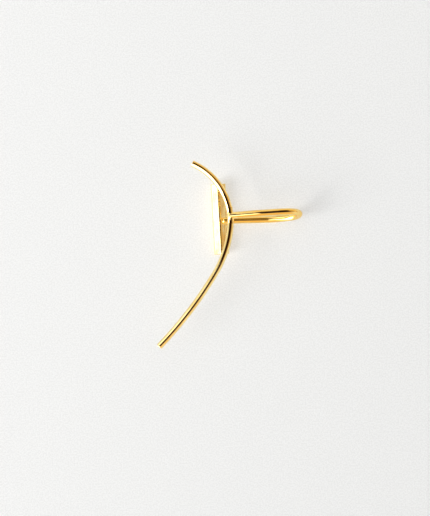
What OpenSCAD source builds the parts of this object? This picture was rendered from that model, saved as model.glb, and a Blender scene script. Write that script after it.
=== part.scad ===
// Clip-on earring: a long curved front wire, a narrow loop that passes round the edge
// of the ear lobe, and a bar that bears on the back of it, all soldered into one piece.
// It lies as it rests by itself: the bar on its lower edge, the loop on its lower arm.
// +X runs out along the loop, +Y along the bar towards the short end of the front wire.

/* [Wire] */
// Diameter of the round wire
wire_d = 1.3; // [0.8:0.05:1.4]

/* [Front arc] */
// Radius of the bend that the loop is soldered to
crown_r = 12.7; // [11:0.1:15]
// Degrees of that bend
crown_sweep = 73; // [60:1:85]
// Degrees along that bend from its lower end to the solder joint
crown_below = 11.8; // [8:0.2:20]
// Radius of the wider bend below it
middle_r = 21.8; // [18:0.1:26]
// Degrees of the wider bend
middle_sweep = 24.5; // [18:0.5:30]
// Radius of the nearly straight foot
foot_r = 80; // [60:1:120]
// Degrees of the foot's bend
foot_sweep = 13.4; // [8:0.2:16]
// Degrees that the wire leans back at the solder joint
arc_lean = 2.6; // [0:0.2:8]

/* [Ear loop] */
// Reach of the loop past the front wire, to the centre of its turn's wire
loop_reach = 13.85; // [12:0.05:16]
// Radius of the turn, at the wire's centre
turn_r = 3.25; // [3:0.05:4]
// Degrees that the lower arm climbs towards the bar
arm_rise = 8.7; // [7:0.1:9]
// Degrees that the loop leans to one side
loop_lean = 9.5; // [0:0.5:16]
// Degrees that the loop turns towards the short end of the front wire
loop_turn = 1.5; // [-3:0.5:4]
// Height of the upper arm above the front wire where they are soldered
arm_step = 0.1; // [0.05:0.05:0.3]

/* [Back bar] */
// Length of the bar
bar_length = 14.2; // [10:0.1:18]
// Side of the bar's square section
bar_side = 2.35; // [2.2:0.05:2.6]
// Radius of the bar's four long edges
bar_edge_r = 0.35; // [0.2:0.05:0.5]
// Chamfer round each end of the bar
bar_end_cut = 0.35; // [0.2:0.05:0.6]
// Distance of the bar's ridge behind the solder joint
bar_back = 2.1; // [1.5:0.1:3]
// Distance of the bar's middle below the solder joint
bar_drop = 0.55; // [0:0.05:2]

/* [Hidden] */
$fn = 64;

wire_r = wire_d / 2;

// Where one bend follows another, a ball a hair thicker than the wire fills a short seam.
ball_r = wire_r + 0.012;
seam = 0.03;
// Solder rounds off the loop's two ends.
solder_r = wire_r + 0.03;

// Each row of a route: a straight length, then a bend's radius and its degrees to the left.
// The front wire runs from its foot to its short end.
ARC_ROUTE = [
    [0, foot_r, foot_sweep],
    [0, middle_r, middle_sweep],
    [0, crown_r, crown_sweep],
];
TO_JOINT = [
    ARC_ROUTE[0],
    ARC_ROUTE[1],
    [0, crown_r, crown_below],
];

// The loop runs from the joint out, round and back, and stops just short of the bar's ridge.
upper_length = loop_reach - turn_r;
lower_end_x = 0.35 - bar_back;
lower_length = (upper_length - turn_r * sin(arm_rise) - lower_end_x) / cos(arm_rise);
LOOP_ROUTE = [
    [upper_length, turn_r, 180 + arm_rise],
    [lower_length, 0, 0],
];

// Heights of the wires' and the bar's centres above the surface that the earring lies on.
arm_z = wire_r + 2 * turn_r * cos(loop_lean);
arc_z = arm_z - arm_step;
bar_half = bar_side / sqrt(2) - bar_edge_r * (sqrt(2) - 1);

// Place [x, y] and heading in degrees at the end of a route that starts at the place given.
function route_end(rows, at, i = 0) =
    i == len(rows) ? at : route_end(rows, bend_end(rows[i], at), i + 1);

function bend_end(row, at) = [
    at[0] + row[1] * (sin(at[2] + row[2]) - sin(at[2])),
    at[1] + row[1] * (cos(at[2]) - cos(at[2] + row[2])),
    at[2] + row[2]
];

// The front wire's foot, joint and tip, with the solder joint at [0, 0].
foot_heading = 90 + arc_lean - crown_below - middle_sweep - foot_sweep;
to_joint = route_end(TO_JOINT, [0, 0, foot_heading]);
foot = [-to_joint[0], -to_joint[1], foot_heading];
tip = route_end(ARC_ROUTE, foot);

// The box round the whole earring, seen from above.
x_low = foot[0] - wire_r * abs(sin(foot[2]));
x_high = loop_reach * cos(loop_turn) + wire_r;
y_low = foot[1] - wire_r * abs(cos(foot[2]));
y_high = tip[1] + wire_r * abs(cos(tip[2]));

// Round wire along a route, from the origin towards +Y.
module wire(rows, i = 0) {
    straight = rows[i][0];
    radius = rows[i][1];
    sweep = rows[i][2];
    last = i == len(rows) - 1;
    if (straight > 0)
        rotate([-90, 0, 0])
            cylinder(d = wire_d, h = straight - (sweep > 0 ? seam : 0));
    if (straight > 0 && sweep > 0)
        translate([0, straight, 0])
            sphere(r = ball_r);
    if (sweep > 0)
        translate([-radius, straight, 0]) {
            rotate_extrude(angle = sweep - (last ? 0 : seam / radius * 180 / PI))
                translate([radius, 0])
                    circle(d = wire_d);
            if (!last)
                rotate([0, 0, sweep])
                    translate([radius, 0, 0]) {
                        sphere(r = ball_r);
                        wire(rows, i + 1);
                    }
        }
}

// The long front wire, bent in three stretches from its foot to its short end.
module front_arc() {
    color("goldenrod")
        translate([foot[0], foot[1], arc_z])
            rotate([0, 0, foot[2] - 90])
                wire(ARC_ROUTE);
}

// The loop round the edge of the ear lobe, in one leaning plane.
module ear_loop() {
    color("goldenrod")
        translate([0, 0, arm_z])
            rotate([-90 - loop_lean, 0, loop_turn])
                rotate([0, 0, -90]) {
                    sphere(r = solder_r);
                    wire(LOOP_ROUTE);
                    translate([-turn_r, upper_length, 0])
                        rotate([0, 0, 180 + arm_rise])
                            translate([turn_r, lower_length, 0])
                                sphere(r = solder_r);
                }
}

// Square section with rounded corners.
module bar_section() {
    flat = bar_side - 2 * bar_edge_r;
    square([flat, bar_side], center = true);
    square([bar_side, flat], center = true);
    for (x = [-1, 1], y = [-1, 1])
        translate([x, y] * flat / 2)
            circle(r = bar_edge_r);
}

// Side view of the bar: its ends are cut back, and its sides stand clear of the section.
module bar_outline() {
    end_w = bar_side / 2 - bar_end_cut;
    end_l = bar_length / 2;
    out = bar_side / 2;
    polygon([
        [end_w, end_l],
        [end_w + out, end_l - out],
        [end_w + out, out - end_l],
        [end_w, -end_l],
        [-end_w, -end_l],
        [-end_w - out, out - end_l],
        [-end_w - out, end_l - out],
        [-end_w, end_l],
    ]);
}

// The bar that bears on the back of the ear lobe, square in section and set on edge.
module back_bar() {
    color("goldenrod")
        translate([-bar_back, -bar_drop, bar_half])
            rotate([0, 45, 0])
                intersection() {
                    rotate([90, 0, 0])
                        linear_extrude(height = bar_length + bar_side, center = true)
                            bar_section();
                    linear_extrude(height = 2 * bar_side, center = true)
                        bar_outline();
                    rotate([0, 90, 0])
                        linear_extrude(height = 2 * bar_side, center = true)
                            bar_outline();
                }
}

// The soldered whole, with the middle of its box at the origin.
module earring() {
    translate([-(x_low + x_high) / 2, -(y_low + y_high) / 2, 0])
        union() {
            front_arc();
            ear_loop();
            back_bar();
        }
}

earring();
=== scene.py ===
"""A clip-on earring lying on a sheet of pale paper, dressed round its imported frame.

Each piece is drawn in millimetres and is brought to metres when it is set in its place.
The row frame has +X out along the ear loop and +Y along the back bar. Angles that are
stored are in degrees.
"""

import logging
import math
from collections.abc import Callable, Iterator
from dataclasses import dataclass, field
from enum import Enum

import bmesh
import bpy
from mathutils import Euler, Matrix, Vector


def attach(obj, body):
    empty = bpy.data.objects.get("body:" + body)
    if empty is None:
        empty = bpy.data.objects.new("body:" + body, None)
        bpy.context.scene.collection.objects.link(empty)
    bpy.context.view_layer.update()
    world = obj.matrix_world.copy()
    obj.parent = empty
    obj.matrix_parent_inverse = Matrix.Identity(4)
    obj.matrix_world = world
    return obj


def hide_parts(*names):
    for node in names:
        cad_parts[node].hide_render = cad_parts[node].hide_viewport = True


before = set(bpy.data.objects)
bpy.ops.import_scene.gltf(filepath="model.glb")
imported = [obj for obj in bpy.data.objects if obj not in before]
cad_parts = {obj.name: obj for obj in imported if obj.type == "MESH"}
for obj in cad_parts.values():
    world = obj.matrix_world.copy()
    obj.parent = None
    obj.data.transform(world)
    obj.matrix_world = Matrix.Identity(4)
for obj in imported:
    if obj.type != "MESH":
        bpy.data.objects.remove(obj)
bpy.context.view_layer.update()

LOG = logging.getLogger("earring")
Colour = tuple[float, float, float, float]

# One millimetre, in metres.
MM = 0.001
# Points that lie closer together than this are merged, in millimetres.
MERGE = 1e-4
# How near a rim something has to be to count as lying on it, in millimetres.
ON_RIM = 1e-3
# Faces that meet at less than this angle are shaded as one smooth surface, in degrees.
SMOOTH_BELOW = 40.0
# A square bar set on edge is turned by this, in degrees.
ON_EDGE = 45.0

# Where the front wire and the loop are soldered, seen from above, in millimetres.
JOINT = Vector((0.790, 7.253, 0.0))


class Part(Enum):
    """Part of a mesh that is picked in edit mode."""

    FACE = "FACE"
    EDGE = "EDGE"


class Polish(Enum):
    """How far a surface has been polished: its lowest and highest roughness."""

    MIRROR = (0.02, 0.06)
    BRIGHT = (0.04, 0.1)


class Task(Enum):
    """What a lamp is for: everything, the gold's reflections, or the paper, also unshaded."""

    KEY = "key"
    MIRRORED = "mirrored"
    FILL = "fill"
    EVEN = "even"


def clear_selection() -> None:
    """Leaves nothing selected, so that an operator acts on new work alone."""
    bpy.ops.object.select_all(action="DESELECT")


def take(piece: bpy.types.Object) -> None:
    """Makes one object the only selected one, and the active one.

    Args:
        piece: the object that the next operator acts on.
    """
    clear_selection()
    piece.select_set(True)
    bpy.context.view_layer.objects.active = piece


def choose(kind: Part, test: Callable[[Vector, Vector], bool]) -> None:
    """Selects parts of the mesh in edit mode by their place and direction.

    Args:
        kind: whether faces or edges are chosen.
        test: takes a part's middle, and its normal or its run, and says whether it is chosen.
    """
    piece = bpy.context.object
    bpy.ops.mesh.select_mode(type=kind.value)
    bpy.ops.mesh.select_all(action="DESELECT")
    mesh = bmesh.from_edit_mesh(piece.data)
    for part in mesh.faces if kind is Part.FACE else mesh.edges:
        if kind is Part.FACE:
            chosen = test(part.calc_center_median(), part.normal)
        else:
            start, end = [corner.co for corner in part.verts]
            chosen = test((start + end) / 2, end - start)
        if chosen:
            part.select_set(True)
    mesh.select_flush_mode()
    bmesh.update_edit_mesh(piece.data)


def round_over(radius: float, steps: int) -> None:
    """Rounds the edges that are selected, or those round a selected face, in edit mode."""
    bpy.ops.mesh.bevel(offset=radius, segments=steps, profile=0.5, affect="EDGES")


def close_shell() -> None:
    """Merges doubled points and turns the faces outwards, in edit mode.

    The whole mesh is left selected.
    """
    bpy.ops.mesh.select_all(action="SELECT")
    bpy.ops.mesh.remove_doubles(threshold=MERGE)
    bpy.ops.mesh.normals_make_consistent(inside=False)


def apply_modifier(piece: bpy.types.Object, kind: str, **settings: object) -> None:
    """Adds a modifier with the given settings and applies it.

    Args:
        piece: the object that is shaped.
        kind: the modifier's type.
        settings: the modifier's own settings by name.
    """
    take(piece)
    modifier = piece.modifiers.new(kind.lower(), kind)
    for key, value in settings.items():
        setattr(modifier, key, value)
    bpy.ops.object.modifier_apply(modifier=modifier.name)


def soften(piece: bpy.types.Object, depth: float, dent: float) -> None:
    """Gives a surface the slight unevenness of metal that was filed and polished by hand.

    Args:
        piece: the object, still in millimetres.
        depth: height of the unevenness, in millimetres.
        dent: width of its dents, in millimetres.
    """
    unevenness = bpy.data.textures.new(piece.name + "_unevenness", "CLOUDS")
    unevenness.noise_scale = dent
    unevenness.noise_depth = 1
    apply_modifier(piece, "DISPLACE", texture=unevenness, strength=depth, mid_level=0.5)


def settle(piece: bpy.types.Object, place: Matrix) -> None:
    """Sets a piece drawn in millimetres in its place in the row frame, in metres.

    Args:
        piece: the object, drawn round its own origin.
        place: its turn and its shift, in millimetres.
    """
    take(piece)
    piece.matrix_world = Matrix.Scale(MM, 4) @ place
    bpy.ops.object.transform_apply(location=True, rotation=True, scale=True)


def towards(azimuth: float, elevation: float) -> Vector:
    """Works out the direction at an azimuth and an elevation.

    Args:
        azimuth: degrees to the left of +X, seen from above.
        elevation: degrees above the paper.

    Returns:
        The direction, one unit long.
    """
    around = math.radians(azimuth)
    above = math.radians(elevation)
    across = math.cos(above)
    return Vector((math.cos(around) * across, math.sin(around) * across, math.sin(above)))


def add_noise(nodes: bpy.types.Nodes, scale: float, detail: float) -> bpy.types.Node:
    """Adds a noise texture.

    Args:
        nodes: the tree's nodes.
        scale: how many of its blotches go in a metre.
        detail: how many finer layers it has.

    Returns:
        The node.
    """
    node = nodes.new("ShaderNodeTexNoise")
    node.inputs["Scale"].default_value = scale
    node.inputs["Detail"].default_value = detail
    return node


def add_bump(nodes: bpy.types.Nodes, depth: float) -> bpy.types.Node:
    """Adds a bump.

    Args:
        nodes: the tree's nodes.
        depth: its depth in metres.

    Returns:
        The node.
    """
    node = nodes.new("ShaderNodeBump")
    node.inputs["Strength"].default_value = 1.0
    node.inputs["Distance"].default_value = depth
    return node


def add_ramp(nodes: bpy.types.Nodes, *stops: tuple[float, Colour]) -> bpy.types.Node:
    """Adds a colour ramp.

    Args:
        nodes: the tree's nodes.
        stops: the place and the colour of each stop, from the lowest to the highest.

    Returns:
        The node.
    """
    node = nodes.new("ShaderNodeValToRGB")
    held = node.color_ramp.elements
    held[0].position, held[0].color = stops[0]
    held[1].position, held[1].color = stops[-1]
    for position, colour in stops[1:-1]:
        held.new(position).color = colour
    return node


def add_range(
    nodes: bpy.types.Nodes,
    source: tuple[float, float],
    result: tuple[float, float] = (0.0, 1.0),
    eased: bool = False,
) -> bpy.types.Node:
    """Adds a node that maps one range of values onto another.

    Args:
        nodes: the tree's nodes.
        source: the range's start and end.
        result: what they become.
        eased: whether the change is gentle at both ends.

    Returns:
        The node.
    """
    node = nodes.new("ShaderNodeMapRange")
    node.interpolation_type = "SMOOTHSTEP" if eased else "LINEAR"
    node.inputs["From Min"].default_value = source[0]
    node.inputs["From Max"].default_value = source[1]
    node.inputs["To Min"].default_value = result[0]
    node.inputs["To Max"].default_value = result[1]
    return node


@dataclass(frozen=True)
class Stretch:
    """One stretch of a wire: a straight run, then a bend to the left."""

    straight: float = 0.0
    radius: float = 0.0
    sweep: float = 0.0


def route_end(route: tuple[Stretch, ...]) -> Vector:
    """Follows a route that starts at the origin towards +Y.

    Args:
        route: the wire's stretches.

    Returns:
        The place where the route ends, in millimetres.
    """
    place = Vector((0.0, 0.0, 0.0))
    heading = math.radians(90)
    for stretch in route:
        place.x += stretch.straight * math.cos(heading)
        place.y += stretch.straight * math.sin(heading)
        after = heading + math.radians(stretch.sweep)
        place.x += stretch.radius * (math.sin(after) - math.sin(heading))
        place.y += stretch.radius * (math.cos(heading) - math.cos(after))
        heading = after
    return place


@dataclass
class RoundWire:
    """Round wire, bent flat along a route that starts at the origin towards +Y."""

    diameter: float
    route: tuple[Stretch, ...]
    sides: int = 64
    ring_gap: float = 0.24
    end_round: float = 0.1
    end_steps: int = 4
    cap_hold: float = 0.05

    def draw(self, name: str) -> bpy.types.Object:
        """Draws the wire as a closed shell, with its two cut ends rounded over.

        Args:
            name: the new object's name.

        Returns:
            The object, in millimetres, at the origin.
        """
        clear_selection()
        bpy.ops.mesh.primitive_circle_add(
            vertices=self.sides, radius=self.diameter / 2, rotation=(math.radians(90), 0, 0)
        )
        bpy.ops.object.transform_apply(rotation=True)
        wire = bpy.context.object
        wire.name = name
        bpy.ops.object.mode_set(mode="EDIT")
        bpy.ops.mesh.select_mode(type="VERT")
        bpy.ops.mesh.select_all(action="SELECT")
        place = Vector((0.0, 0.0, 0.0))
        heading = math.radians(90)
        for stretch in self.route:
            place = self.run_straight(stretch, place, heading)
            place, heading = self.run_round(stretch, place, heading)
        self.close_ends()
        bpy.ops.object.mode_set(mode="OBJECT")
        return wire

    def run_straight(self, stretch: Stretch, place: Vector, heading: float) -> Vector:
        """Extrudes the last ring along a stretch's straight run.

        Args:
            stretch: the stretch that is drawn.
            place: middle of the last ring.
            heading: direction of the wire there, in radians.

        Returns:
            Middle of the new last ring.
        """
        ahead = Vector((math.cos(heading), math.sin(heading), 0.0))
        steps = max(1, round(stretch.straight / self.ring_gap))
        for _ in range(steps if stretch.straight > 0 else 0):
            bpy.ops.mesh.extrude_region_move(
                TRANSFORM_OT_translate={"value": ahead * (stretch.straight / steps)}
            )
        return place + ahead * stretch.straight

    def run_round(self, stretch: Stretch, place: Vector, heading: float) -> tuple[Vector, float]:
        """Spins the last ring round a stretch's bend.

        Args:
            stretch: the stretch that is drawn.
            place: middle of the last ring.
            heading: direction of the wire there, in radians.

        Returns:
            Middle of the new last ring, and the direction of the wire there.
        """
        if stretch.sweep <= 0:
            return place, heading
        centre = place + Vector((-math.sin(heading), math.cos(heading), 0.0)) * stretch.radius
        sweep = math.radians(stretch.sweep)
        # The ring turns clockwise about its axis, so the axis of a left bend points down.
        bpy.ops.mesh.spin(
            steps=max(2, round(sweep * stretch.radius / self.ring_gap)),
            angle=sweep,
            center=centre,
            axis=(0, 0, -1),
        )
        arm = Matrix.Rotation(sweep, 3, "Z") @ (place - centre)
        return centre + arm, heading + sweep

    def close_ends(self) -> None:
        """Fills both cut ends, rounds their edges and holds the flat of each cap."""
        bpy.ops.mesh.select_all(action="SELECT")
        bpy.ops.mesh.fill_holes(sides=0)
        close_shell()
        self.choose_caps()
        round_over(self.end_round, self.end_steps)
        self.choose_caps()
        bpy.ops.mesh.inset(thickness=self.cap_hold)

    @staticmethod
    def choose_caps() -> None:
        """Selects the two flat faces that close the wire, the only ones with many corners."""
        mesh = bmesh.from_edit_mesh(bpy.context.object.data)
        caps = {tuple(face.calc_center_median()) for face in mesh.faces if len(face.verts) > 4}
        choose(Part.FACE, lambda middle, _: tuple(middle) in caps)


@dataclass(frozen=True)
class GoldPlate:
    """Yellow gold plating over brass, polished, with faint marks of the polishing cloth."""

    name: str
    polish: Polish
    pale: Colour = (1.0, 0.79, 0.36, 1.0)
    deep: Colour = (0.95, 0.70, 0.28, 1.0)
    edge_tint: Colour = (1.0, 0.93, 0.78, 1.0)
    tone_grain: float = 260.0
    tone_detail: float = 3.0
    tone_span: tuple[float, float] = (0.35, 0.62)
    cloth_grain: float = 2600.0
    cloth_detail: float = 6.0
    cloth_span: tuple[float, float] = (0.35, 0.7)
    cloth_turn: tuple[float, float, float] = (0.0, 20.0, 35.0)
    cloth_stretch: tuple[float, float, float] = (1.0, 0.12, 1.0)
    cloth_depth: float = 2e-6
    wave_grain: float = 420.0
    wave_detail: float = 1.0
    wave_depth: float = 1.2e-5

    def material(self) -> bpy.types.Material:
        """Makes the node material.

        Returns:
            The material, on the object's own coordinates.
        """
        made = bpy.data.materials.new(self.name)
        made.use_nodes = True
        tree = made.node_tree
        tree.nodes.clear()
        out = tree.nodes.new("ShaderNodeOutputMaterial")
        shader = tree.nodes.new("ShaderNodeBsdfPrincipled")
        tree.links.new(shader.outputs["BSDF"], out.inputs["Surface"])
        shader.inputs["Metallic"].default_value = 1.0
        shader.inputs["Specular Tint"].default_value = self.edge_tint
        place = tree.nodes.new("ShaderNodeTexCoord").outputs["Object"]
        self.colour(tree, place, shader)
        cloth = self.cloth(tree, place)
        rough = add_range(tree.nodes, self.cloth_span, self.polish.value)
        tree.links.new(cloth, rough.inputs["Value"])
        tree.links.new(rough.outputs["Result"], shader.inputs["Roughness"])
        self.relief(tree, place, cloth, shader)
        return made

    def colour(
        self, tree: bpy.types.NodeTree, place: bpy.types.NodeSocket, shader: bpy.types.Node
    ) -> None:
        """Lets the gold vary between its pale and its deep tone.

        Args:
            tree: the material's node tree.
            place: the object's own coordinates.
            shader: the gold's shader.
        """
        tone = add_noise(tree.nodes, self.tone_grain, self.tone_detail)
        tree.links.new(place, tone.inputs["Vector"])
        low, high = self.tone_span
        ramp = add_ramp(tree.nodes, (low, self.deep), (high, self.pale))
        tree.links.new(tone.outputs["Fac"], ramp.inputs["Fac"])
        tree.links.new(ramp.outputs["Color"], shader.inputs["Base Color"])

    def cloth(
        self, tree: bpy.types.NodeTree, place: bpy.types.NodeSocket
    ) -> bpy.types.NodeSocket:
        """Draws the fine marks of the polishing cloth, long in one direction.

        Args:
            tree: the material's node tree.
            place: the object's own coordinates.

        Returns:
            How strong the marks are at each place.
        """
        marks = add_noise(tree.nodes, self.cloth_grain, self.cloth_detail)
        stretched = tree.nodes.new("ShaderNodeMapping")
        turn = [math.radians(angle) for angle in self.cloth_turn]
        stretched.inputs["Rotation"].default_value = turn
        stretched.inputs["Scale"].default_value = self.cloth_stretch
        tree.links.new(place, stretched.inputs["Vector"])
        tree.links.new(stretched.outputs["Vector"], marks.inputs["Vector"])
        return marks.outputs["Fac"]

    def relief(
        self,
        tree: bpy.types.NodeTree,
        place: bpy.types.NodeSocket,
        cloth: bpy.types.NodeSocket,
        shader: bpy.types.Node,
    ) -> None:
        """Gives the surface shallow waves, with the cloth's marks on them.

        Args:
            tree: the material's node tree.
            place: the object's own coordinates.
            cloth: how strong the cloth's marks are.
            shader: the gold's shader.
        """
        wave = add_noise(tree.nodes, self.wave_grain, self.wave_detail)
        tree.links.new(place, wave.inputs["Vector"])
        hollow = add_bump(tree.nodes, self.wave_depth)
        tree.links.new(wave.outputs["Fac"], hollow.inputs["Height"])
        marks = add_bump(tree.nodes, self.cloth_depth)
        tree.links.new(cloth, marks.inputs["Height"])
        tree.links.new(hollow.outputs["Normal"], marks.inputs["Normal"])
        tree.links.new(marks.outputs["Normal"], shader.inputs["Normal"])


@dataclass
class GoldPiece:
    """A piece of the earring: it is shaped, dressed in gold and set on the frame."""

    name: str
    finish: bpy.types.Material

    def shape(self) -> bpy.types.Object:
        """Builds the mesh; each kind of piece has its own."""
        raise NotImplementedError

    def make(self) -> bpy.types.Object:
        """Shapes the piece, dresses it and puts it in the place of the soldered whole.

        Returns:
            The finished object.
        """
        piece = self.shape()
        take(piece)
        bpy.ops.object.shade_smooth_by_angle(angle=math.radians(SMOOTH_BELOW))
        piece.data.materials.clear()
        piece.data.materials.append(self.finish)
        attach(piece, "root")
        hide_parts("earring")
        size = [round(length / MM, 2) for length in piece.dimensions]
        LOG.info("%s: %s mm, %d faces", self.name, size, len(piece.data.polygons))
        return piece


@dataclass
class FrontArc(GoldPiece):
    """The long front wire, from its foot in three ever tighter bends to its short end."""

    wire_d: float = 1.3
    foot_r: float = 80.0
    foot_sweep: float = 13.4
    middle_r: float = 21.8
    middle_sweep: float = 24.5
    crown_r: float = 12.7
    crown_sweep: float = 73.0
    crown_below: float = 11.8
    lean: float = 2.6
    height: float = 6.9
    unevenness: float = 0.012
    dent: float = 2.5

    def route(self, crown_sweep: float) -> tuple[Stretch, ...]:
        """Lists the wire's three bends, from its foot.

        Args:
            crown_sweep: how far the route follows the last and tightest bend.

        Returns:
            The bends.
        """
        return (
            Stretch(0.0, self.foot_r, self.foot_sweep),
            Stretch(0.0, self.middle_r, self.middle_sweep),
            Stretch(0.0, self.crown_r, crown_sweep),
        )

    def shape(self) -> bpy.types.Object:
        """Draws the wire from its foot and sets its joint on the loop's line.

        Returns:
            The wire, in its place in metres.
        """
        piece = RoundWire(self.wire_d, self.route(self.crown_sweep)).draw(self.name)
        soften(piece, self.unevenness, self.dent)
        before = self.crown_below + self.middle_sweep + self.foot_sweep
        turn = Matrix.Rotation(math.radians(self.lean - before), 4, "Z")
        to_joint = turn @ route_end(self.route(self.crown_below))
        shift = Vector((JOINT.x - to_joint.x, JOINT.y - to_joint.y, self.height))
        settle(piece, Matrix.Translation(shift) @ turn)
        return piece


@dataclass
class EarLoop(GoldPiece):
    """The narrow loop round the edge of the ear lobe, leaning more towards its tip."""

    wire_d: float = 1.34
    end_round: float = 0.35
    reach: float = 13.83
    arm_up: float = 2.5
    arm_run: float = 5.2
    break_r: float = 9.0
    break_down: float = 2.8
    bow_r: float = 12.0
    bow_down: float = 12.0
    ease_r: float = 10.0
    ease_sweep: float = 25.0
    arm_rise: float = 8.7
    lean: float = 10.1
    twist: float = 2.6
    yaw: float = 1.1
    lower_end: float = -1.75
    height: float = 6.98
    lowest: float = 0.71
    unevenness: float = 0.01
    dent: float = 2.2

    def route(self) -> tuple[Stretch, ...]:
        """Works out the loop's route from its reach and its depth.

        The upper arm climbs a little, breaks downwards, runs on and bows over. The tip turns
        in a half circle that ends short of level, and a gentler bend leads into the rising
        lower arm. The second run and the tip make up what the rest leaves of reach and depth.

        Returns:
            The arm's two runs and bends, the tip, the gentler bend and the lower arm.
        """
        up = math.radians(self.arm_up)
        down = math.radians(self.break_down)
        over = math.radians(self.bow_down)
        ease = math.radians(self.ease_sweep)
        rise = math.radians(self.arm_rise)
        out = self.reach - self.arm_run * math.cos(up)
        out -= self.break_r * (math.sin(up) + math.sin(down))
        out -= self.bow_r * (math.sin(over) - math.sin(down))
        drop = (self.height - self.lowest) / math.cos(math.radians(self.lean + self.twist))
        drop += self.arm_run * math.sin(up) - self.break_r * (math.cos(up) - math.cos(down))
        drop -= self.bow_r * (math.cos(down) - math.cos(over))
        drop -= self.ease_r * (1 - math.cos(ease))
        tip_drop = math.cos(over) + math.cos(ease)
        tip_out = 1 - math.sin(over)
        tip_r = (drop - out * math.tan(down)) / (tip_drop - tip_out * math.tan(down))
        run_on = (out - tip_r * tip_out) / math.cos(down)
        LOG.info("loop: second run %.3f mm, tip radius %.3f mm", run_on, tip_r)
        ease_out = self.ease_r * (math.sin(ease) + math.sin(rise))
        end_x = self.reach - tip_r * (1 - math.sin(ease)) - ease_out
        lower = (end_x - self.lower_end) / math.cos(rise)
        return (
            Stretch(self.arm_run, self.break_r, self.arm_up + self.break_down),
            Stretch(run_on, self.bow_r, self.bow_down - self.break_down),
            Stretch(0.0, tip_r, 180 - self.bow_down - self.ease_sweep),
            Stretch(0.0, self.ease_r, self.ease_sweep + self.arm_rise),
            Stretch(lower),
        )

    def lower_arm_end(self) -> Vector:
        """Finds the middle of the lower arm's end, in the row frame in millimetres."""
        return self.place() @ route_end(self.route())

    def place(self) -> Matrix:
        """Works out where the loop's plane goes.

        Returns:
            The place that turns the route's +Y to +X and its bends to the left downwards.
        """
        lean = Matrix.Rotation(math.radians(-90 - self.lean), 4, "X")
        return (
            Matrix.Translation(JOINT + Vector((0.0, 0.0, self.height)))
            @ Matrix.Rotation(math.radians(self.yaw), 4, "Z")
            @ lean
            @ Matrix.Rotation(math.radians(-90 - self.arm_up), 4, "Z")
        )

    def shape(self) -> bpy.types.Object:
        """Draws the upper arm, the turn and the lower arm, and twists the loop a little.

        Returns:
            The loop, in its place in metres.
        """
        wire = RoundWire(self.wire_d, self.route(), end_round=self.end_round)
        piece = wire.draw(self.name)
        soften(piece, self.unevenness, self.dent)
        # Twist spreads over the whole length, and a negative angle leans the tip further.
        turn = -math.radians(self.twist) * piece.dimensions.y / self.reach
        apply_modifier(
            piece, "SIMPLE_DEFORM", deform_method="TWIST", deform_axis="Y", angle=turn
        )
        settle(piece, self.place())
        return piece


@dataclass
class BackBar(GoldPiece):
    """The square bar, set on edge, that bears on the back of the ear lobe."""

    length: float = 14.2
    side: float = 2.22
    ridge_r: float = 0.42
    ridge_steps: int = 8
    edge_r: float = 0.2
    end_r: float = 0.1
    edge_steps: int = 6
    back: float = 2.1
    drop: float = 0.55
    unevenness: float = 0.012
    dent: float = 3.0
    cells: tuple[int, int] = (6, 40)
    hold: float = 0.02
    side_hold: float = 0.12

    def shape(self) -> bpy.types.Object:
        """Builds the bar from a block whose edges are rounded over.

        Returns:
            The bar, in its place in metres.
        """
        clear_selection()
        bpy.ops.mesh.primitive_cube_add(size=1.0, scale=(self.side, self.length, self.side))
        bpy.ops.object.transform_apply(scale=True)
        piece = bpy.context.object
        piece.name = self.name
        bpy.ops.object.mode_set(mode="EDIT")
        choose(Part.EDGE, self.is_ridge)
        round_over(self.ridge_r, self.ridge_steps)
        choose(Part.EDGE, self.is_outer)
        round_over(self.edge_r, self.edge_steps)
        choose(Part.EDGE, self.is_end)
        round_over(self.end_r, self.edge_steps)
        self.divide()
        close_shell()
        bpy.ops.object.mode_set(mode="OBJECT")
        soften(piece, self.unevenness, self.dent)
        on_edge = Matrix.Rotation(math.radians(ON_EDGE), 4, "Y")
        settle(piece, Matrix.Translation(self.middle()) @ on_edge)
        return piece

    def middle(self) -> Vector:
        """Works out the bar's middle, so that it rests on its lower ridge."""
        half = self.side / math.sqrt(2) - self.ridge_r * (math.sqrt(2) - 1)
        return JOINT + Vector((-self.back, -self.drop, half + self.unevenness))

    def is_ridge(self, at: Vector, run: Vector) -> bool:
        """Tells the block's two long edges that become the bar's top and bottom ridge."""
        return abs(run.y) > self.length / 2 and at.x * at.z < 0

    def is_outer(self, at: Vector, run: Vector) -> bool:
        """Tells the two long edges that will face sideways from the rounded ridges."""
        corner = self.side / 2 - ON_RIM
        return abs(run.y) > self.length / 2 and min(abs(at.x), abs(at.z)) > corner

    def is_end(self, at: Vector, run: Vector) -> bool:
        """Tells the edges that run round the bar's two ends."""
        return abs(at.y) > self.length / 2 - ON_RIM and abs(run.y) < ON_RIM

    def divide(self) -> None:
        """Cuts the flats into small cells, to be uneven, and close to the edges, to stay flat."""
        across, along = self.cells
        flat = self.side / 2 - self.ridge_r
        outer = self.side / 2 - self.edge_r
        reach = self.length / 2 - self.end_r
        cuts = (
            (Vector((1.0, 0.0, 0.0)), flat, across, outer),
            (Vector((0.0, 0.0, 1.0)), flat, across, outer),
            (Vector((0.0, 1.0, 0.0)), reach, along, reach),
        )
        for normal, half, count, edge in cuts:
            places = [2 * half * step / count - half for step in range(1, count)]
            places += [side * (half - self.hold) for side in (-1, 1)]
            places += [side * (edge - self.side_hold) for side in (-1, 1)]
            for place in places:
                bpy.ops.mesh.select_all(action="SELECT")
                bpy.ops.mesh.bisect(plane_co=normal * place, plane_no=normal)


@dataclass(frozen=True)
class Stub:
    """Short length of round rod inside a solder joint, which may taper, in millimetres."""

    start: Vector
    end: Vector
    start_d: float
    end_d: float


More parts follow.
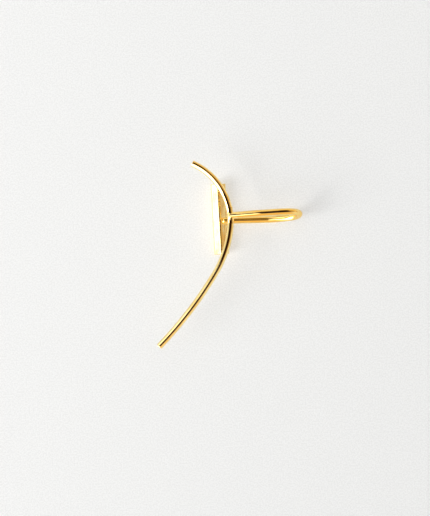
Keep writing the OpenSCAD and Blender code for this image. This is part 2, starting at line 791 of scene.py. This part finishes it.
@dataclass
class SolderJoint(GoldPiece):
    """Solder that has run into the corner between two pieces and been smoothed over."""

    voxel: float = 0.04
    smoothing: float = 0.5
    passes: int = 40
    rod_sides: int = 48

    def stubs(self) -> tuple[Stub, ...]:
        """Lists the rods that the joint is fused from; each kind of joint has its own."""
        raise NotImplementedError

    def shape(self) -> bpy.types.Object:
        """Fuses stubs of the joined pieces and lets the solder draw back.

        Returns:
            The joint, in its place in metres.
        """
        rods = [self.rod(stub) for stub in self.stubs()]
        clear_selection()
        for rod in rods:
            rod.select_set(True)
        bpy.context.view_layer.objects.active = rods[0]
        bpy.ops.object.join()
        piece = bpy.context.object
        piece.name = self.name
        apply_modifier(piece, "REMESH", mode="VOXEL", voxel_size=self.voxel, adaptivity=0.0)
        apply_modifier(piece, "SMOOTH", factor=self.smoothing, iterations=self.passes)
        settle(piece, Matrix.Identity(4))
        return piece

    def rod(self, stub: Stub) -> bpy.types.Object:
        """Builds one stub.

        Args:
            stub: the stub's two ends and its diameter at each.

        Returns:
            The stub as an object of its own, in millimetres.
        """
        run = stub.end - stub.start
        clear_selection()
        bpy.ops.mesh.primitive_cone_add(
            vertices=self.rod_sides,
            radius1=stub.start_d / 2,
            radius2=stub.end_d / 2,
            depth=run.length,
            location=(stub.start + stub.end) / 2,
            rotation=run.to_track_quat("Z", "Y").to_euler(),
        )
        bpy.ops.object.transform_apply(location=True, rotation=True, scale=True)
        return bpy.context.object


@dataclass(kw_only=True)
class FrontSolder(SolderJoint):
    """The solder where the loop's upper arm meets the front wire.

    It swells over both wires at the joint and sinks into them further out.
    """

    arc: FrontArc
    loop: EarLoop
    swell: float = 0.1
    arm_swell: float = 0.02
    sink: float = 0.06
    along_arc: float = 1.8
    into_arc: float = 0.35
    along_arm: float = 2.4

    def stubs(self) -> tuple[Stub, ...]:
        """Works out the stubs of the front wire, to both sides, and of the upper arm.

        Returns:
            The three stubs.
        """
        lean = math.radians(90 + self.arc.lean)
        along = Vector((math.cos(lean), math.sin(lean), 0.0))
        on_arc = JOINT + Vector((0.0, 0.0, self.arc.height))
        on_arm = JOINT + Vector((0.0, 0.0, self.loop.height))
        up = math.radians(self.loop.arm_up)
        out = Vector((math.cos(up), 0.0, math.sin(up)))
        out.rotate(Euler((0.0, 0.0, math.radians(self.loop.yaw))))
        swollen = self.arc.wire_d + self.swell
        thin = self.arc.wire_d - self.sink
        return (
            Stub(on_arc, on_arc + along * self.along_arc, swollen, thin),
            Stub(on_arc, on_arc - along * self.along_arc, swollen, thin),
            Stub(
                on_arm - out * self.into_arc,
                on_arm + out * self.along_arm,
                swollen + self.arm_swell,
                self.loop.wire_d - self.sink,
            ),
        )


@dataclass(kw_only=True)
class BackSolder(SolderJoint):
    """The solder where the loop's lower arm meets the bar.

    It lies as a low mound on the bar's flat and sinks into the arm further out.
    """

    loop: EarLoop
    bar: BackBar
    swell: float = 0.08
    sink: float = 0.06
    into_bar: float = 0.5
    along_arm: float = 1.4
    mound_sink: float = 0.2
    mound_rise: float = 0.45
    mound_spread: float = 0.6
    mound_top: float = 0.7

    def stubs(self) -> tuple[Stub, ...]:
        """Works out the stub of the lower arm and the mound where it enters the bar.

        Returns:
            The stub and the mound.
        """
        rise = math.radians(self.loop.arm_rise)
        lean = math.radians(self.loop.lean)
        back = Vector((-math.cos(rise), 0.0, math.sin(rise)))
        back.rotate(Euler((-lean, 0.0, math.radians(self.loop.yaw))))
        end = self.loop.lower_arm_end()
        off_flat = Vector((1.0, 0.0, 1.0)).normalized()
        depth = self.bar.side / 2 - off_flat.dot(end - self.bar.middle())
        entry = end + back * (depth / off_flat.dot(back))
        swollen = self.loop.wire_d + self.swell
        return (
            Stub(
                entry + back * self.into_bar,
                entry - back * self.along_arm,
                swollen,
                self.loop.wire_d - self.sink,
            ),
            Stub(
                entry - off_flat * self.mound_sink,
                entry + off_flat * self.mound_rise,
                swollen + self.mound_spread,
                self.mound_top,
            ),
        )


@dataclass
class PaperFloor:
    """The sheet of pale paper that the earring lies on."""

    width: float = 3.0
    pale: Colour = (0.875, 0.875, 0.865, 1.0)
    grey: Colour = (0.805, 0.805, 0.795, 1.0)
    roughness: float = 0.9
    shine: float = 0.2
    fibre_grain: float = 3400.0
    fibre_detail: float = 5.0
    fibre_span: tuple[float, float] = (0.4, 0.6)
    fibre_depth: float = 4e-5

    def make(self) -> bpy.types.Object:
        """Lays the sheet and gives it its fibres.

        Returns:
            The sheet.
        """
        clear_selection()
        bpy.ops.mesh.primitive_plane_add(size=self.width)
        sheet = bpy.context.object
        sheet.name = "paper_floor"
        sheet.data.materials.append(self.material())
        return sheet

    def material(self) -> bpy.types.Material:
        """Makes the paper's material.

        Returns:
            The material, on the sheet's own coordinates.
        """
        made = bpy.data.materials.new("pale_paper")
        made.use_nodes = True
        nodes = made.node_tree.nodes
        links = made.node_tree.links
        shader = nodes["Principled BSDF"]
        shader.inputs["Roughness"].default_value = self.roughness
        shader.inputs["Specular IOR Level"].default_value = self.shine
        place = nodes.new("ShaderNodeTexCoord")
        fibre = add_noise(nodes, self.fibre_grain, self.fibre_detail)
        links.new(place.outputs["Object"], fibre.inputs["Vector"])
        low, high = self.fibre_span
        ramp = add_ramp(nodes, (low, self.grey), (high, self.pale))
        links.new(fibre.outputs["Fac"], ramp.inputs["Fac"])
        links.new(ramp.outputs["Color"], shader.inputs["Base Color"])
        relief = add_bump(nodes, self.fibre_depth)
        links.new(fibre.outputs["Fac"], relief.inputs["Height"])
        links.new(relief.outputs["Normal"], shader.inputs["Normal"])
        return made


def hold_back(tree: bpy.types.NodeTree, strength: bpy.types.NodeSocket, cast: float) -> None:
    """Weakens a light where gold would throw it on the paper.

    Args:
        tree: the light's node tree.
        strength: the socket that holds its strength.
        cast: the share of the light that still reaches the paper that way.
    """
    weaker = add_range(tree.nodes, (0.0, 1.0), (1.0, cast))
    path = tree.nodes.new("ShaderNodeLightPath")
    tree.links.new(path.outputs["Diffuse Depth"], weaker.inputs["Value"])
    tree.links.new(weaker.outputs["Result"], strength)


@dataclass(frozen=True)
class Lamp:
    """One soft lamp: where it stands as seen from the earring, its size and its light.

    Its distance, width and height are in metres, its glow is the brightness of its face.
    """

    name: str
    task: Task
    azimuth: float
    elevation: float
    distance: float
    width: float
    tall: float
    glow: float
    level: bool = False
    cast: float = 0.08

    def place(self) -> bpy.types.Object:
        """Puts up the lamp, facing the earring, or level where it stands upright.

        Returns:
            The lamp, which the camera itself doesn't see.
        """
        out = towards(self.azimuth, self.elevation)
        clear_selection()
        bpy.ops.object.light_add(type="AREA", location=out * self.distance)
        lamp = bpy.context.object
        lamp.name = self.name
        facing = Vector((out.x, out.y, 0.0 if self.level else out.z))
        lamp.rotation_euler = facing.to_track_quat("Z", "Y").to_euler()
        lamp.data.shape = "RECTANGLE"
        lamp.data.size = self.width
        lamp.data.size_y = self.tall
        lamp.data.energy = self.glow * math.pi * self.width * self.tall
        lamp.visible_camera = False
        lamp.visible_diffuse = self.task is not Task.MIRRORED
        lamp.visible_glossy = self.task not in (Task.FILL, Task.EVEN)
        lamp.data.use_shadow = self.task is not Task.EVEN
        if self.task is Task.MIRRORED:
            lamp.data.use_nodes = True
            shader = lamp.data.node_tree.nodes["Emission"]
            hold_back(lamp.data.node_tree, shader.inputs["Strength"], self.cast)
        return lamp


@dataclass(frozen=True)
class Patch:
    """A soft round patch of the room: its middle, the reach of its fading edge, its light."""

    azimuth: float
    elevation: float
    inner: float
    outer: float
    colour: Colour

    def lay(self, tree: bpy.types.NodeTree, under: bpy.types.NodeSocket) -> bpy.types.NodeSocket:
        """Lays the patch over what the room is already coloured with.

        Args:
            tree: the world's node tree.
            under: the colour that shows outside the patch.

        Returns:
            The colour with the patch in it.
        """
        way = tree.nodes.new("ShaderNodeTexCoord")
        near = tree.nodes.new("ShaderNodeVectorMath")
        near.operation = "DOT_PRODUCT"
        near.inputs[1].default_value = towards(self.azimuth, self.elevation)
        tree.links.new(way.outputs["Generated"], near.inputs[0])
        rim = (math.cos(math.radians(self.outer)), math.cos(math.radians(self.inner)))
        share = add_range(tree.nodes, rim, eased=True)
        tree.links.new(near.outputs["Value"], share.inputs["Value"])
        mixed = tree.nodes.new("ShaderNodeMix")
        mixed.data_type = "RGBA"
        mixed.inputs["B"].default_value = self.colour
        tree.links.new(share.outputs["Result"], mixed.inputs["Factor"])
        tree.links.new(under, mixed.inputs["A"])
        return mixed.outputs["Result"]


@dataclass
class Studio:
    """Plain soft studio light: lamps, a room with pale walls, a dark ceiling and a skylight.

    The ceiling is an oval as seen from below, so heights are flattened to measure it.
    """

    lamps: tuple[Lamp, ...]
    patches: tuple[Patch, ...]
    skylight: Patch
    bright_azimuth: float = 226.0
    dim: Colour = (0.93, 0.70, 0.31, 1.0)
    middling: Colour = (0.95, 0.97, 0.95, 1.0)
    bright: Colour = (0.95, 0.95, 0.93, 1.0)
    wall_stops: tuple[float, float, float] = (0.1, 0.3, 0.7)
    ceiling: Colour = (0.03, 0.012, 0.004, 1.0)
    ceiling_middle: tuple[float, float] = (-0.1, 0.05)
    ceiling_azimuth: float = 176.0
    ceiling_size: tuple[float, float] = (0.72, 0.48)
    ceiling_edge: tuple[float, float] = (0.82, 1.06)
    flatten: float = 1e4
    cast: float = 0.25

    def make(self) -> None:
        """Puts up the lamps, then colours the room from its walls to its skylight."""
        for lamp in self.lamps:
            lamp.place()
            LOG.info("lamp %s at %.0f degrees", lamp.name, lamp.azimuth)
        world = bpy.data.worlds.new("studio_room")
        bpy.context.scene.world = world
        world.use_nodes = True
        world.cycles_visibility.diffuse = False
        tree = world.node_tree
        shown = self.walls(tree)
        for patch in self.patches:
            shown = patch.lay(tree, shown)
        shown = self.roof(tree, shown)
        shown = self.skylight.lay(tree, shown)
        back = tree.nodes["Background"]
        tree.links.new(shown, back.inputs["Color"])
        hold_back(tree, back.inputs["Strength"], self.cast)

    def walls(self, tree: bpy.types.NodeTree) -> bpy.types.NodeSocket:
        """Shades the walls from the dim side of the room to the bright one.

        Args:
            tree: the world's node tree.

        Returns:
            The walls' colour.
        """
        way = tree.nodes.new("ShaderNodeTexCoord")
        side = tree.nodes.new("ShaderNodeVectorMath")
        side.operation = "DOT_PRODUCT"
        side.inputs[1].default_value = towards(self.bright_azimuth, 0.0)
        tree.links.new(way.outputs["Generated"], side.inputs[0])
        spread = add_range(tree.nodes, (-1.0, 1.0))
        tree.links.new(side.outputs["Value"], spread.inputs["Value"])
        colours = (self.dim, self.middling, self.bright)
        ramp = add_ramp(tree.nodes, *zip(self.wall_stops, colours))
        tree.links.new(spread.outputs["Result"], ramp.inputs["Fac"])
        return ramp.outputs["Color"]

    def roof(self, tree: bpy.types.NodeTree, under: bpy.types.NodeSocket) -> bpy.types.NodeSocket:
        """Hangs an oval of dark ceiling over the room, with a soft edge.

        Args:
            tree: the world's node tree.
            under: the colour that shows round the ceiling.

        Returns:
            The colour with the ceiling in it.
        """
        way = tree.nodes.new("ShaderNodeTexCoord")
        turned = tree.nodes.new("ShaderNodeMapping")
        turned.vector_type = "TEXTURE"
        turned.inputs["Location"].default_value = (*self.ceiling_middle, 0.0)
        turned.inputs["Rotation"].default_value = (0.0, 0.0, math.radians(self.ceiling_azimuth))
        turned.inputs["Scale"].default_value = (*self.ceiling_size, self.flatten)
        tree.links.new(way.outputs["Generated"], turned.inputs["Vector"])
        off = tree.nodes.new("ShaderNodeVectorMath")
        off.operation = "LENGTH"
        tree.links.new(turned.outputs["Vector"], off.inputs[0])
        edge = add_range(tree.nodes, self.ceiling_edge, eased=True)
        tree.links.new(off.outputs["Value"], edge.inputs["Value"])
        room = tree.nodes.new("ShaderNodeMix")
        room.data_type = "RGBA"
        room.inputs["A"].default_value = self.ceiling
        tree.links.new(edge.outputs["Result"], room.inputs["Factor"])
        tree.links.new(under, room.inputs["B"])
        return room.outputs["Result"]


@dataclass
class OverheadCamera:
    """The camera, straight above the earring and turned a little, in millimetres."""

    middle: Vector = field(default_factory=lambda: Vector((-2.728, -1.074, 6.96)))
    distance: float = 600.0
    field_height: float = 103.2
    turned: float = -3.1
    sensor: float = 36.0
    nearest: float = 10.0

    def make(self) -> bpy.types.Object:
        """Hangs the camera above the paper.

        Returns:
            The camera, set as the scene's own.
        """
        clear_selection()
        above = self.middle + Vector((0.0, 0.0, self.distance))
        bpy.ops.object.camera_add(location=above * MM)
        camera = bpy.context.object
        camera.name = "overhead_camera"
        camera.rotation_euler = Euler((0.0, 0.0, math.radians(self.turned)))
        camera.data.sensor_width = self.sensor
        camera.data.lens = self.sensor * self.distance / self.field_height
        camera.data.clip_start = self.nearest * MM
        bpy.context.scene.camera = camera
        return camera


# The lamps that the gold mirrors, and those that light the paper.
LAMPS = (
    Lamp(
        "pale_screen", Task.MIRRORED, azimuth=226.0, elevation=49.0, distance=1.22,
        width=0.74, tall=1.94, glow=3.2, level=True,
    ),
    Lamp(
        "pale_strip", Task.MIRRORED, azimuth=191.0, elevation=19.0, distance=0.85,
        width=0.46, tall=0.65, glow=2.7, level=True,
    ),
    Lamp(
        "side_panel", Task.MIRRORED, azimuth=125.0, elevation=48.0, distance=0.8,
        width=0.4, tall=0.5, glow=1.3,
    ),
    Lamp(
        "window", Task.KEY, azimuth=201.0, elevation=30.0, distance=0.75,
        width=0.46, tall=0.46, glow=5.3,
    ),
    Lamp(
        "ceiling_glow", Task.FILL, azimuth=0.0, elevation=90.0, distance=1.0,
        width=1.5, tall=1.5, glow=0.2,
    ),
    Lamp(
        "overhead", Task.EVEN, azimuth=100.0, elevation=57.0, distance=2.0,
        width=1.5, tall=1.5, glow=5.28,
    ),
)

# Warm and dark things in the room, seen in the gold, and the white skylight above them.
DARK_CORNER: Colour = (0.05, 0.015, 0.004, 1.0)
PATCHES = (
    Patch(azimuth=15.0, elevation=62.0, inner=18.0, outer=50.0, colour=(0.52, 0.33, 0.16, 1.0)),
    Patch(azimuth=279.0, elevation=24.0, inner=20.0, outer=43.0, colour=(0.98, 0.66, 0.27, 1.0)),
    Patch(azimuth=2.0, elevation=3.0, inner=8.0, outer=15.0, colour=(0.66, 0.42, 0.20, 1.0)),
    Patch(azimuth=66.0, elevation=61.0, inner=8.0, outer=14.0, colour=DARK_CORNER),
    Patch(azimuth=68.0, elevation=45.0, inner=8.0, outer=14.0, colour=DARK_CORNER),
    Patch(azimuth=112.0, elevation=14.0, inner=9.0, outer=17.0, colour=(0.40, 0.28, 0.14, 1.0)),
)
SKYLIGHT = Patch(
    azimuth=246.0, elevation=71.0, inner=10.0, outer=14.5, colour=(2.7, 2.7, 2.7, 1.0)
)


def parts_in_order() -> Iterator[GoldPiece]:
    """Gives the earring's pieces in the order in which they are soldered.

    Yields:
        Each piece, ready to make.
    """
    gold = GoldPlate("polished_gold", Polish.MIRROR).material()
    # The loop and the back solder get a deeper, more saturated copy of the same gold: painted
    # reflection, standing in for the warm light the loop's arms throw on each other.
    loop_gold_painted_reflection = GoldPlate(
        "loop_gold_painted_reflection",
        Polish.MIRROR,
        pale=(1.0, 0.75, 0.29, 1.0),
        deep=(0.96, 0.66, 0.22, 1.0),
        edge_tint=(1.0, 0.9, 0.68, 1.0),
    ).material()
    bar_gold = GoldPlate("bar_gold", Polish.BRIGHT).material()
    arc = FrontArc("front_arc", gold)
    loop = EarLoop("ear_loop", loop_gold_painted_reflection)
    bar = BackBar("back_bar", bar_gold)
    yield arc
    yield loop
    yield bar
    yield FrontSolder("front_solder", gold, arc=arc, loop=loop)
    yield BackSolder("back_solder", loop_gold_painted_reflection, loop=loop, bar=bar)


def main() -> None:
    """Builds the earring, the paper, the light and the camera."""
    logging.basicConfig(level=logging.INFO, format="%(name)s: %(message)s")
    bpy.context.scene.view_settings.view_transform = "Standard"
    for part in parts_in_order():
        part.make()
    PaperFloor().make()
    Studio(LAMPS, PATCHES, SKYLIGHT).make()
    OverheadCamera().make()


if __name__ == "__main__":
    main()
